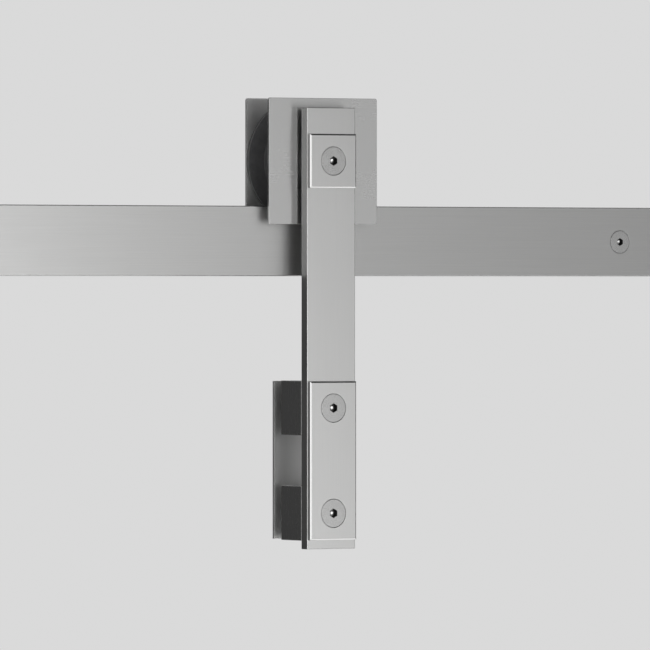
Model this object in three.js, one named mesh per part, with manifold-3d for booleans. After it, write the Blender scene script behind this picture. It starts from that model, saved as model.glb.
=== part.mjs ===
// Sliding barn door hardware: one roller hanger with its glass clamp on a flat rail section.
//
// Frame: millimetres. +X runs along the rail, +Y runs into the wall, +Z is up.
// The origin is on the wall plane (Y = 0), at the rail's mid length and mid height,
// so the hardware stands out from the wall towards -Y.

import * as THREE from 'three';
import { mergeVertices } from 'three/addons/utils/BufferGeometryUtils.js';
import Module from 'manifold-3d';

const wasm = await Module();
wasm.setup();

// ---------------------------------------------------------------- driving dimensions

// rail: flat bar, screwed to the wall through two standoffs
const RAIL_LENGTH = 740;
const RAIL_HEIGHT = 50;
const RAIL_THICK = 18;
const RAIL_BACK_Y = -27;                         // standoff length
const RAIL_FRONT_Y = RAIL_BACK_Y - RAIL_THICK;   // -45
const RAIL_CHAMFER = 0.7;
const RAIL_HOLE_X = 270;                         // each side of the middle
const STANDOFF_R = 10;
const STANDOFF_BORE_R = 4.5;
const RAIL_SCREW_R = 4;                          // M8
const RAIL_SCREW_HEAD_R = 8.1;
const RAIL_SCREW_TIP_Y = 35;                     // depth in the wall
const RAIL_SCREW_SOCKET = 5;                     // across flats

// end stops: saddles over the rail, with a rubber bumper towards the hanger
const STOP_INNER_X = 326;
const STOP_LENGTH = 40;
const STOP_FRONT_Y = -56;
const STOP_BACK_Y = -16;
const STOP_TOP_Z = 50;
const STOP_BOTTOM_Z = 5;
const BUMPER_THICK = 6;
const BUMPER_BOTTOM_Z = 27;
const BUMPER_TOP_Z = 48;
const GRUB_R = 3;                                // M6
const GRUB_LENGTH = 20;
const GRUB_SOCKET = 3;

// hanger
const HANGER_X = 11.5;                           // where the hanger stands at rest
const AXLE_Z = 57;
const STRAP_WIDTH = 40;
const STRAP_FRONT_Y = -65;
const STRAP_BACK_Y = -57;
const STRAP_TOP_Z = 95;
const STRAP_BOTTOM_Z = -219.5;
const STRAP_CHAMFER = 0.5;
const COVER_THICK = 3.5;
const COVER_FRONT_Y = STRAP_FRONT_Y - COVER_THICK; // -68.5
const COVER_WIDTH = 38.5;
const COVER_CHAMFER = 1;
const CLAMP_COVER_TOP_Z = -100;
const CLAMP_COVER_BOTTOM_Z = -213;

// guard plates each side of the wheel
const PLATE_SIZE = 90;
const PLATE_CORNER_R = 1.5;
const PLATE_CHAMFER = 0.25;
const FRONT_PLATE_Y = [-54, -52];
const REAR_PLATE_Y = [-22.8, -20.8];

// wheel: tread rolls on the rail's top edge, a large flange behind the rail, a smaller one in front
const TREAD_R = 31.95;
const FLANGE_R = 45;
const FRONT_FLANGE_R = 40;
const WHEEL_FRONT_Y = -50.9;
const TREAD_FRONT_Y = -46.2;
const FLANGE_Y = [-25.5, -23.3];

// bearings: 10 x 30 x 9 deep-groove, one at each end of the hub
const BEARING_OD_R = 15;
const BEARING_BORE_R = 5.1;
const FRONT_BEARING_Y = [-50.5, -41.5];
const REAR_BEARING_Y = [-33.8, -24.8];
const BALL_R = 2.38;
const BALL_PITCH_R = 10;
const BALL_COUNT = 8;

// axle bolt and clamp bolts: M10 countersunk
const BOLT_R = 4.95;
const BOLT_HOLE_R = 5.3;
const BOLT_HEAD_R = 10;
const BOLT_HEAD_RIM = 0.5;
const BOLT_SOCKET = 6;                           // across flats
const CUT_GAP = 0.25;                            // round the countersunk heads
const AXLE_TIP_Y = -12.5;
const NUT_FLATS = 17;
const NUT_THICK = 5;
const WASHER_THICK = 1.5;
const WASHER_R = 10;
const DOWEL_R = 2;
const DOWEL_OFFSET = 25;                         // above and below the axle

// glass clamp
const BLOCK_CENTRES_Z = [-119, -194];
const BLOCK_HEIGHT = 39;
const BLOCK_BACK_Y = -29;
const GASKET_R = 9.5;
const CLAMP_PLATE_Y = [-19, -17];
const CLAMP_PLATE_TOP_Z = -100;
const CLAMP_PLATE_BOTTOM_Z = -213;
const CLAMP_BOLT_TIP_Y = -8.7;

const FIT = 0.05;                                // between faces that bear on each other

// facets round a circle: small holes and pins, heads and rings, the wheel
const SMALL = 20;
const MEDIUM = 28;
const LARGE = 60;

// ---------------------------------------------------------------- materials

const look = (color, roughness, metalness) =>
  new THREE.MeshStandardMaterial({ color, roughness, metalness });
const SATIN_STEEL = () => look(0xb8b8b6, 0.32, 1);
const BRIGHT_STEEL = () => look(0xcfcfcd, 0.2, 1);
const GRAPHITE_NYLON = () => look(0x2b2b2c, 0.45, 0);
const BEARING_STEEL = () => look(0xc4c6c8, 0.15, 1);
const BLACK_RUBBER = () => look(0x171717, 0.8, 0);

// ---------------------------------------------------------------- helpers

const V2 = (x, y) => new THREE.Vector2(x, y);

// closed geometry -> manifold solid, with its faces turned outwards
function solid(geometry) {
  const g = geometry.clone();
  g.deleteAttribute('normal');
  g.deleteAttribute('uv');
  const merged = mergeVertices(g, 1e-5);
  const p = merged.attributes.position.array;
  const index = merged.index.array;
  const tris = [];
  let volume = 0;
  for (let i = 0; i < index.length; i += 3) {
    const [a, b, c] = [index[i], index[i + 1], index[i + 2]];
    if (a === b || b === c || c === a) continue;
    tris.push(a, b, c);
    const [ax, ay, az] = [p[3 * a], p[3 * a + 1], p[3 * a + 2]];
    const [bx, by, bz] = [p[3 * b], p[3 * b + 1], p[3 * b + 2]];
    const [cx, cy, cz] = [p[3 * c], p[3 * c + 1], p[3 * c + 2]];
    volume += ax * (by * cz - bz * cy) + ay * (bz * cx - bx * cz) + az * (bx * cy - by * cx);
  }
  if (volume < 0) {
    for (let i = 0; i < tris.length; i += 3) [tris[i + 1], tris[i + 2]] = [tris[i + 2], tris[i + 1]];
  }
  return new wasm.Manifold(new wasm.Mesh({
    numProp: 3,
    vertProperties: new Float32Array(p),
    triVerts: new Uint32Array(tris),
  }));
}

function geometryOf(manifold) {
  const mesh = manifold.getMesh();
  const g = new THREE.BufferGeometry();
  const np = mesh.numProp;
  const n = mesh.vertProperties.length / np;
  const position = new Float32Array(n * 3);
  for (let i = 0; i < n; i++) {
    for (let k = 0; k < 3; k++) position[3 * i + k] = mesh.vertProperties[np * i + k];
  }
  g.setAttribute('position', new THREE.BufferAttribute(position, 3));
  g.setIndex(new THREE.BufferAttribute(new Uint32Array(mesh.triVerts), 1));
  g.computeVertexNormals();
  return g;
}

function box(x0, x1, y0, y1, z0, z1) {
  return solid(new THREE.BoxGeometry(x1 - x0, y1 - y0, z1 - z0)
    .translate((x0 + x1) / 2, (y0 + y1) / 2, (z0 + z1) / 2));
}

// body of revolution about an axis along Y through (x, z); profile is [radius, y] pairs
function turned(x, z, profile, segments = MEDIUM, closed = false) {
  const points = profile.map(([r, y]) => V2(r, y));
  if (closed) points.push(points[0].clone());
  return solid(new THREE.LatheGeometry(points, segments).translate(x, 0, z));
}

const rod = (x, z, y0, y1, r, segments = SMALL) =>
  turned(x, z, [[0, y0], [r, y0], [r, y1], [0, y1]], segments);

const tube = (x, z, y0, y1, rIn, rOut, segments = SMALL, c = 0) => turned(x, z, c
  ? [[rIn, y0], [rOut - c, y0], [rOut, y0 + c], [rOut, y1 - c], [rOut - c, y1], [rIn, y1]]
  : [[rIn, y0], [rOut, y0], [rOut, y1], [rIn, y1]], segments, true);

// hexagonal prism along Y, flats of the given width
function hexagon(x, z, y0, y1, flats) {
  return solid(new THREE.CylinderGeometry(flats / Math.sqrt(3), flats / Math.sqrt(3), y1 - y0, 6)
    .translate(x, (y0 + y1) / 2, z));
}

// countersunk screw along +Y, its flat head at y0; a hexagon socket in the head
function countersunk(x, z, y0, tip, { r, head, rim, socket, depth, point = 0.8, segments = MEDIUM }) {
  const body = turned(x, z, [
    [0, y0], [head, y0], [head, y0 + rim], [r, y0 + rim + head - r],
    [r, tip - point], [r - point, tip], [0, tip],
  ], segments);
  return body.subtract(hexagon(x, z, y0 - 1, y0 + depth, socket));
}

// the hole that such a screw sits in: a countersink and a clear bore to y1
function countersink(x, z, y0, y1, { r, head, rim, gap, segments = MEDIUM }) {
  const R = head + gap;
  return turned(x, z, [
    [0, y0 - 2], [R, y0 - 2], [R, y0 + rim + gap * 0.4], [r, y0 + rim + gap * 0.4 + R - r],
    [r, y1 + 2], [0, y1 + 2],
  ], segments);
}

// rounded rectangle in X and Z, from y0 to y1, chamfered round both faces
function plate(x, z0, z1, width, y0, y1, corner, chamfer) {
  const h = width / 2;
  const shape = new THREE.Shape();
  if (corner > 0) {
    shape.moveTo(-h + corner, z0);
    shape.lineTo(h - corner, z0);
    shape.absarc(h - corner, z0 + corner, corner, -Math.PI / 2, 0, false);
    shape.lineTo(h, z1 - corner);
    shape.absarc(h - corner, z1 - corner, corner, 0, Math.PI / 2, false);
    shape.lineTo(-h + corner, z1);
    shape.absarc(-h + corner, z1 - corner, corner, Math.PI / 2, Math.PI, false);
    shape.lineTo(-h, z0 + corner);
    shape.absarc(-h + corner, z0 + corner, corner, Math.PI, 1.5 * Math.PI, false);
  } else {
    shape.moveTo(-h, z0);
    shape.lineTo(h, z0);
    shape.lineTo(h, z1);
    shape.lineTo(-h, z1);
    shape.closePath();
  }
  const g = new THREE.ExtrudeGeometry(shape, {
    depth: y1 - y0 - 2 * chamfer, steps: 1, curveSegments: 3,
    bevelEnabled: chamfer > 0, bevelThickness: chamfer, bevelSize: chamfer,
    bevelOffset: -chamfer, bevelSegments: 1,
  });
  g.translate(0, 0, chamfer).rotateX(Math.PI / 2).translate(x, y1, 0);
  return solid(g);
}

// plate chamfered round its front face only
function coverPlate(x, z0, z1, width, y0, y1, chamfer) {
  const deep = plate(x, z0, z1, width, y0, y1 + 4, 0, chamfer);
  return deep.intersect(box(x - width, x + width, y0 - 1, y1, z0 - 1, z1 + 1));
}

const object = new THREE.Group();

function add(name, manifold, material) {
  const mesh = new THREE.Mesh(geometryOf(manifold), material);
  mesh.name = name;
  object.add(mesh);
  return mesh;
}

// ---------------------------------------------------------------- rail and its wall fixings

{
  const h = RAIL_HEIGHT / 2;
  const c = RAIL_CHAMFER;
  const s = new THREE.Shape();
  s.moveTo(-h + c, RAIL_FRONT_Y);
  s.lineTo(h - c, RAIL_FRONT_Y);
  s.lineTo(h, RAIL_FRONT_Y + c);
  s.lineTo(h, RAIL_BACK_Y - c);
  s.lineTo(h - c, RAIL_BACK_Y);
  s.lineTo(-h + c, RAIL_BACK_Y);
  s.lineTo(-h, RAIL_BACK_Y - c);
  s.lineTo(-h, RAIL_FRONT_Y + c);
  s.closePath();
  const bar = new THREE.ExtrudeGeometry(s, { depth: RAIL_LENGTH, steps: 1, bevelEnabled: false });
  bar.rotateY(Math.PI / 2).translate(-RAIL_LENGTH / 2, 0, 0);
  let rail = solid(bar);
  for (const x of [-RAIL_HOLE_X, RAIL_HOLE_X]) {
    rail = rail.subtract(countersink(x, 0, RAIL_FRONT_Y + FIT, RAIL_BACK_Y, {
      r: STANDOFF_BORE_R, head: RAIL_SCREW_HEAD_R, rim: 0.4, gap: 0.2,
    }));
  }
  add('track_rail', rail, SATIN_STEEL());
}

for (const [side, x] of [['left', -RAIL_HOLE_X], ['right', RAIL_HOLE_X]]) {
  add(`standoff_${side}`,
    tube(x, 0, RAIL_BACK_Y + FIT, 0, STANDOFF_BORE_R, STANDOFF_R, MEDIUM, 0.6), SATIN_STEEL());
  add(`rail_screw_${side}`,
    countersunk(x, 0, RAIL_FRONT_Y + FIT, RAIL_SCREW_TIP_Y, {
      r: RAIL_SCREW_R, head: RAIL_SCREW_HEAD_R, rim: 0.4,
      socket: RAIL_SCREW_SOCKET, depth: 3.2, point: 2.6,
    }), BRIGHT_STEEL());
}

// ---------------------------------------------------------------- end stops

for (const [side, s] of [['left', -1], ['right', 1]]) {
  const x0 = Math.min(s * STOP_INNER_X, s * (STOP_INNER_X + STOP_LENGTH));
  const x1 = x0 + STOP_LENGTH;
  const xm = (x0 + x1) / 2;
  const midY = (RAIL_FRONT_Y + RAIL_BACK_Y) / 2;
  // bevelled block, slotted from below for the rail
  let block = plate(xm, STOP_BOTTOM_Z, STOP_TOP_Z, STOP_LENGTH, STOP_FRONT_Y, STOP_BACK_Y, 1.5, 0.6);
  block = block.subtract(box(x0 - 1, x1 + 1, RAIL_FRONT_Y - 0.3, RAIL_BACK_Y + 0.3,
    STOP_BOTTOM_Z - 1, RAIL_HEIGHT / 2 + 0.3));
  // two threaded holes down onto the rail's top edge
  const grubX = [xm - 10, xm + 10];
  const downHole = (x, r, z0, z1, segments) => solid(new THREE.CylinderGeometry(r, r, z1 - z0, segments)
    .rotateX(Math.PI / 2).translate(x, midY, (z0 + z1) / 2));
  for (const x of grubX) block = block.subtract(downHole(x, GRUB_R + 0.3, 20, STOP_TOP_Z + 1, 16));
  // blind hole for the bumper's stem
  const zb = (BUMPER_BOTTOM_Z + BUMPER_TOP_Z) / 2;
  const across = (r, xa, xb, segments) => solid(new THREE.CylinderGeometry(r, r, Math.abs(xb - xa), segments)
    .rotateZ(Math.PI / 2).translate((xa + xb) / 2, midY, zb));
  const inner = s * STOP_INNER_X;
  block = block.subtract(across(3.3, inner - s * 1, inner + s * 5.5, 16));
  add(`end_stop_${side}`, block, SATIN_STEEL());

  // bumper: rounded rubber pad with its stem
  const pad = (() => {
    const shape = new THREE.Shape();
    const w = 19, r = 3;
    const [a, b] = [BUMPER_BOTTOM_Z, BUMPER_TOP_Z];
    shape.moveTo(midY - w + r, a);
    shape.lineTo(midY + w - r, a);
    shape.absarc(midY + w - r, a + r, r, -Math.PI / 2, 0, false);
    shape.lineTo(midY + w, b - r);
    shape.absarc(midY + w - r, b - r, r, 0, Math.PI / 2, false);
    shape.lineTo(midY - w + r, b);
    shape.absarc(midY - w + r, b - r, r, Math.PI / 2, Math.PI, false);
    shape.lineTo(midY - w, a + r);
    shape.absarc(midY - w + r, a + r, r, Math.PI, 1.5 * Math.PI, false);
    const g = new THREE.ExtrudeGeometry(shape, {
      depth: BUMPER_THICK - FIT - 2, steps: 1, curveSegments: 2,
      bevelEnabled: true, bevelThickness: 1, bevelSize: 1, bevelOffset: -1, bevelSegments: 1,
    });
    // outline's x becomes Y, its y becomes Z, the depth runs along X
    const m = new THREE.Matrix4().makeBasis(
      new THREE.Vector3(0, 1, 0), new THREE.Vector3(0, 0, 1), new THREE.Vector3(1, 0, 0));
    g.translate(0, 0, 1).applyMatrix4(m);
    g.translate(s > 0 ? inner - BUMPER_THICK : inner + FIT, 0, 0);
    return solid(g);
  })();
  add(`stop_bumper_${side}`,
    pad.add(across(3, inner - s * 2, inner + s * 5, 16)), BLACK_RUBBER());

  grubX.forEach((x, i) => {
    const z0 = RAIL_HEIGHT / 2 + FIT;
    const g = new THREE.LatheGeometry([
      V2(0, z0), V2(GRUB_R - 0.8, z0), V2(GRUB_R, z0 + 0.8), V2(GRUB_R, z0 + GRUB_LENGTH - 0.4),
      V2(GRUB_R - 0.4, z0 + GRUB_LENGTH), V2(0, z0 + GRUB_LENGTH),
    ], 16).rotateX(Math.PI / 2).translate(x, midY, 0);
    const socket = solid(new THREE.CylinderGeometry(
      GRUB_SOCKET / Math.sqrt(3), GRUB_SOCKET / Math.sqrt(3), 4, 6)
      .rotateX(Math.PI / 2).translate(x, midY, z0 + GRUB_LENGTH - 1));
    add(`stop_grub_screw_${side}_${i + 1}`, solid(g).subtract(socket), BRIGHT_STEEL());
  });
}

// ---------------------------------------------------------------- hanger strap and covers

const HX = HANGER_X;
const boltHead = { head: BOLT_HEAD_R, rim: BOLT_HEAD_RIM, gap: CUT_GAP, r: BOLT_HOLE_R };
const dowelZ = [AXLE_Z + DOWEL_OFFSET, AXLE_Z - DOWEL_OFFSET];
const boltZ = [AXLE_Z, ...BLOCK_CENTRES_Z];

{
  let strap = plate(HX, STRAP_BOTTOM_Z, STRAP_TOP_Z, STRAP_WIDTH,
    STRAP_FRONT_Y, STRAP_BACK_Y, 0, STRAP_CHAMFER);
  for (const z of boltZ) strap = strap.subtract(countersink(HX, z, COVER_FRONT_Y, STRAP_BACK_Y, boltHead));
  for (const z of dowelZ) strap = strap.subtract(rod(HX, z, STRAP_BACK_Y - 4.3, STRAP_BACK_Y + 1, DOWEL_R + 0.15, 16));
  add('hanger_strap', strap, SATIN_STEEL());
}

add('axle_cover_plate',
  coverPlate(HX, AXLE_Z - COVER_WIDTH / 2, AXLE_Z + COVER_WIDTH / 2, COVER_WIDTH,
    COVER_FRONT_Y, STRAP_FRONT_Y - FIT, COVER_CHAMFER)
    .subtract(countersink(HX, AXLE_Z, COVER_FRONT_Y, STRAP_FRONT_Y, boltHead)), SATIN_STEEL());

{
  let cover = coverPlate(HX, CLAMP_COVER_BOTTOM_Z, CLAMP_COVER_TOP_Z, COVER_WIDTH,
    COVER_FRONT_Y, STRAP_FRONT_Y - FIT, COVER_CHAMFER);
  for (const z of BLOCK_CENTRES_Z) cover = cover.subtract(countersink(HX, z, COVER_FRONT_Y, STRAP_FRONT_Y, boltHead));
  add('clamp_cover_plate', cover, SATIN_STEEL());
}

// ---------------------------------------------------------------- guard plates

const plateZ = [AXLE_Z - PLATE_SIZE / 2, AXLE_Z + PLATE_SIZE / 2];
{
  let front = plate(HX, plateZ[0], plateZ[1], PLATE_SIZE,
    FRONT_PLATE_Y[0], FRONT_PLATE_Y[1], PLATE_CORNER_R, PLATE_CHAMFER);
  front = front.subtract(rod(HX, AXLE_Z, FRONT_PLATE_Y[0] - 1, FRONT_PLATE_Y[1] + 1, BOLT_HOLE_R));
  for (const z of dowelZ) front = front.subtract(rod(HX, z, FRONT_PLATE_Y[0] - 1, FRONT_PLATE_Y[1] + 1, DOWEL_R + 0.15, 16));
  add('front_guard_plate', front, SATIN_STEEL());

  const rear = plate(HX, plateZ[0], plateZ[1], PLATE_SIZE,
    REAR_PLATE_Y[0], REAR_PLATE_Y[1], PLATE_CORNER_R, PLATE_CHAMFER)
    .subtract(rod(HX, AXLE_Z, REAR_PLATE_Y[0] - 1, REAR_PLATE_Y[1] + 1, BOLT_HOLE_R));
  add('rear_guard_plate', rear, SATIN_STEEL());
}

add('strap_spacer_ring',
  tube(HX, AXLE_Z, STRAP_BACK_Y + FIT, FRONT_PLATE_Y[0] - FIT, BOLT_HOLE_R, 15, MEDIUM), SATIN_STEEL());
['upper', 'lower'].forEach((name, i) => {
  add(`dowel_pin_${name}`, turned(HX, dowelZ[i], [
    [0, STRAP_BACK_Y - 4.1], [DOWEL_R - 0.4, STRAP_BACK_Y - 4.1], [DOWEL_R, STRAP_BACK_Y - 3.7],
    [DOWEL_R, FRONT_PLATE_Y[1] - 0.4], [DOWEL_R - 0.2, FRONT_PLATE_Y[1] - 0.2], [0, FRONT_PLATE_Y[1] - 0.2],
  ], 16), BEARING_STEEL());
});

// ---------------------------------------------------------------- axle

add('axle_bolt', countersunk(HX, AXLE_Z, COVER_FRONT_Y + FIT, AXLE_TIP_Y, {
  r: BOLT_R, head: BOLT_HEAD_R, rim: BOLT_HEAD_RIM, socket: BOLT_SOCKET, depth: 3.6,
}), BRIGHT_STEEL());

// thin nut and washer behind a plate whose back face is at y
function nutAndWasher(name, z, y) {
  const w = [y + FIT, y + WASHER_THICK - FIT];
  const n = [w[1] + FIT, w[1] + FIT + NUT_THICK];
  add(name.replace(/^(axle|clamp)/, '$1_washer'),
    tube(HX, z, w[0], w[1], BOLT_HOLE_R, WASHER_R, MEDIUM), BRIGHT_STEEL());
  const R = NUT_FLATS / Math.sqrt(3);
  const blank = turned(HX, z, [
    [0, n[0]], [R - 1.1, n[0]], [R + 0.4, n[0] + 0.9],
    [R + 0.4, n[1] - 0.9], [R - 1.1, n[1]], [0, n[1]],
  ], 24);
  add(name.replace(/^(axle|clamp)/, '$1_nut'),
    hexagon(HX, z, n[0], n[1], NUT_FLATS).intersect(blank)
      .subtract(rod(HX, z, n[0] - 1, n[1] + 1, BOLT_HOLE_R)), BRIGHT_STEEL());
}
nutAndWasher('axle', AXLE_Z, REAR_PLATE_Y[1]);

add('front_shim', tube(HX, AXLE_Z, FRONT_PLATE_Y[1] + FIT, FRONT_BEARING_Y[0] - FIT, BOLT_HOLE_R, 7.5, SMALL), BEARING_STEEL());
add('rear_shim', tube(HX, AXLE_Z, REAR_BEARING_Y[1] + FIT, REAR_PLATE_Y[0] - FIT, BOLT_HOLE_R, 7.5, SMALL), BEARING_STEEL());
add('hub_sleeve', tube(HX, AXLE_Z, FRONT_BEARING_Y[1] + FIT, REAR_BEARING_Y[0] - FIT, BOLT_HOLE_R, 7.5, SMALL), BEARING_STEEL());

// ---------------------------------------------------------------- wheel and bearings

add('wheel', turned(HX, AXLE_Z, [
  [BEARING_OD_R + FIT, WHEEL_FRONT_Y],
  [FRONT_FLANGE_R - 0.6, WHEEL_FRONT_Y],
  [FRONT_FLANGE_R, WHEEL_FRONT_Y + 0.6],
  [FRONT_FLANGE_R, TREAD_FRONT_Y - 0.6],
  [FRONT_FLANGE_R - 0.6, TREAD_FRONT_Y],
  [TREAD_R, TREAD_FRONT_Y],
  [TREAD_R, FLANGE_Y[0]],
  [FLANGE_R - 0.6, FLANGE_Y[0]],
  [FLANGE_R, FLANGE_Y[0] + 0.6],
  [FLANGE_R, FLANGE_Y[1] - 0.6],
  [FLANGE_R - 0.6, FLANGE_Y[1]],
  [BEARING_OD_R + FIT, FLANGE_Y[1]],
  [BEARING_OD_R + FIT, REAR_BEARING_Y[0] - FIT],
  [13, REAR_BEARING_Y[0] - FIT],
  [13, FRONT_BEARING_Y[1] + FIT],
  [BEARING_OD_R + FIT, FRONT_BEARING_Y[1] + FIT],
], LARGE, true), GRAPHITE_NYLON());

for (const [name, [y0, y1]] of [['front', FRONT_BEARING_Y], ['rear', REAR_BEARING_Y]]) {
  const ym = (y0 + y1) / 2;
  const c = 0.5;
  const groove = BALL_R + 0.2;
  // raceways: a shallow round groove at mid width
  const race = (land, sign) => {
    const half = Math.sqrt(groove * groove - (BALL_PITCH_R - land) ** 2);
    return [-1, -0.6, 0, 0.6, 1].map((t) => {
      const dy = t * half;
      return [BALL_PITCH_R + sign * Math.sqrt(Math.max(groove * groove - dy * dy, 0)), ym + dy];
    });
  };
  const inner = race(8.5, -1);
  add(`${name}_bearing_inner_ring`, turned(HX, AXLE_Z, [
    [BEARING_BORE_R, y0 + c], [BEARING_BORE_R + c, y0], [8.5, y0], ...inner, [8.5, y1],
    [BEARING_BORE_R + c, y1], [BEARING_BORE_R, y1 - c],
  ], MEDIUM, true), BEARING_STEEL());
  const outer = race(11.6, 1);
  add(`${name}_bearing_outer_ring`, turned(HX, AXLE_Z, [
    [BEARING_OD_R, y0 + c], [BEARING_OD_R, y1 - c], [BEARING_OD_R - c, y1], [11.6, y1],
    ...outer.slice().reverse(), [11.6, y0], [BEARING_OD_R - c, y0],
  ], 30, true), BEARING_STEEL());
  // balls held in one cage
  let cage = tube(HX, AXLE_Z, ym - 1, ym + 1, BALL_PITCH_R - 0.5, BALL_PITCH_R + 0.5, 2 * BALL_COUNT);
  for (let i = 0; i < BALL_COUNT; i++) {
    const a = (i / BALL_COUNT) * 2 * Math.PI;
    cage = cage.add(solid(new THREE.IcosahedronGeometry(BALL_R, 1)
      .translate(HX + BALL_PITCH_R * Math.sin(a), ym, AXLE_Z + BALL_PITCH_R * Math.cos(a))));
  }
  add(`${name}_bearing_balls`, cage, BEARING_STEEL());
  // rubber-faced seals in the outer ring, one at each side of the balls
  for (const [side, ys] of [['front', y0 + 0.4], ['rear', y1 - 0.8]]) {
    add(`${name}_bearing_${side}_seal`,
      tube(HX, AXLE_Z, ys, ys + 0.4, 8.7, 11.5, MEDIUM), BLACK_RUBBER());
  }
}

// ---------------------------------------------------------------- glass clamp

['upper', 'lower'].forEach((name, i) => {
  const z = BLOCK_CENTRES_Z[i];
  add(`spacer_block_${name}`,
    plate(HX, z - BLOCK_HEIGHT / 2, z + BLOCK_HEIGHT / 2, STRAP_WIDTH,
      STRAP_BACK_Y + FIT, BLOCK_BACK_Y, 0, 0.3)
      .subtract(rod(HX, z, STRAP_BACK_Y - 1, BLOCK_BACK_Y + 1, BOLT_HOLE_R)), SATIN_STEEL());
  add(`front_gasket_${name}`,
    tube(HX, z, BLOCK_BACK_Y + FIT, BLOCK_BACK_Y + 0.95, BOLT_HOLE_R + 0.2, GASKET_R, 24), BLACK_RUBBER());
  add(`rear_gasket_${name}`,
    tube(HX, z, CLAMP_PLATE_Y[0] - 0.95, CLAMP_PLATE_Y[0] - FIT, BOLT_HOLE_R + 0.2, GASKET_R, 24), BLACK_RUBBER());
  add(`clamp_bolt_${name}`, countersunk(HX, z, COVER_FRONT_Y + FIT, CLAMP_BOLT_TIP_Y, {
    r: BOLT_R, head: BOLT_HEAD_R, rim: BOLT_HEAD_RIM, socket: BOLT_SOCKET, depth: 3.6,
  }), BRIGHT_STEEL());
});

{
  let back = plate(HX, CLAMP_PLATE_BOTTOM_Z, CLAMP_PLATE_TOP_Z, STRAP_WIDTH,
    CLAMP_PLATE_Y[0], CLAMP_PLATE_Y[1], 0, PLATE_CHAMFER);
  for (const z of BLOCK_CENTRES_Z) back = back.subtract(rod(HX, z, CLAMP_PLATE_Y[0] - 1, CLAMP_PLATE_Y[1] + 1, BOLT_HOLE_R));
  add('rear_clamp_plate', back, SATIN_STEEL());
}
nutAndWasher('clamp_upper', BLOCK_CENTRES_Z[0], CLAMP_PLATE_Y[1]);
nutAndWasher('clamp_lower', BLOCK_CENTRES_Z[1], CLAMP_PLATE_Y[1]);

export default object;
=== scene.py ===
import math

import bmesh
import bpy
from mathutils import Matrix, Vector


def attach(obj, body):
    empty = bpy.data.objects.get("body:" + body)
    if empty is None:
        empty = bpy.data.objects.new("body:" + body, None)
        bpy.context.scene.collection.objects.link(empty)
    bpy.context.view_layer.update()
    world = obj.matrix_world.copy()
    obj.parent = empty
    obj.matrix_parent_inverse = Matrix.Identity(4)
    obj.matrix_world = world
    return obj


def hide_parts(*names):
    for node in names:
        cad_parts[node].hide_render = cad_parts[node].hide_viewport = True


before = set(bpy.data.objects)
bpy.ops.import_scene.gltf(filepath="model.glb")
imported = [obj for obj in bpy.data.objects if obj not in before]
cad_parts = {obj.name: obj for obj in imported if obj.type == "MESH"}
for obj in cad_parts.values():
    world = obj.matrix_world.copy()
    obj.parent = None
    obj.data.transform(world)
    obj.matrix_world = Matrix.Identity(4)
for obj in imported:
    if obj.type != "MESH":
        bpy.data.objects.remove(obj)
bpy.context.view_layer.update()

MM = 0.001
HX, AXLE_Z = 11.5, 57.0            # the hanger's middle and its axle, mm
CLAMP_Z = (-119.0, -194.0)         # the two clamp bolts


# ------------------------------------------------------------------ node helpers

class Graph:
    def __init__(self, mat):
        mat.use_nodes = True
        self.t = mat.node_tree
        self.t.nodes.clear()
        self.out = self.t.nodes.new("ShaderNodeOutputMaterial")

    def node(self, kind, inputs=None, **props):
        n = self.t.nodes.new("ShaderNode" + kind)
        for k, v in props.items():
            setattr(n, k, v)
        for k, v in (inputs or {}).items():
            if isinstance(v, bpy.types.NodeSocket):
                self.t.links.new(v, n.inputs[k])
            else:
                n.inputs[k].default_value = v
        return n

    def math(self, op, a, b=0.0, clamp=False):
        n = self.node("Math", {0: a, 1: b}, operation=op, use_clamp=clamp)
        return n.outputs[0]

    def ramp(self, value, lo, hi, to_lo, to_hi):
        n = self.node("MapRange", {"Value": value, "From Min": lo, "From Max": hi,
                                   "To Min": to_lo, "To Max": to_hi}, clamp=True)
        return n.outputs[0]

    def noise(self, vec, scale, detail=3.0, rough=0.55, distortion=0.0):
        return self.node("TexNoise", {"Vector": vec, "Scale": scale, "Detail": detail,
                                      "Roughness": rough, "Distortion": distortion}).outputs["Fac"]

    def mapped(self, vec, scale, loc=(0, 0, 0)):
        return self.node("Mapping", {"Vector": vec, "Scale": scale, "Location": loc}).outputs[0]

    def tint(self, fac, a, b):
        n = self.node("Mix", data_type="RGBA", blend_type="MIX")
        n.inputs[0].default_value = 0.5
        self.t.links.new(fac, n.inputs[0])
        n.inputs[6].default_value = (*a, 1)
        n.inputs[7].default_value = (*b, 1)
        return n.outputs[2]


def material(name):
    m = bpy.data.materials.new(name)
    return m, Graph(m)


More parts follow.
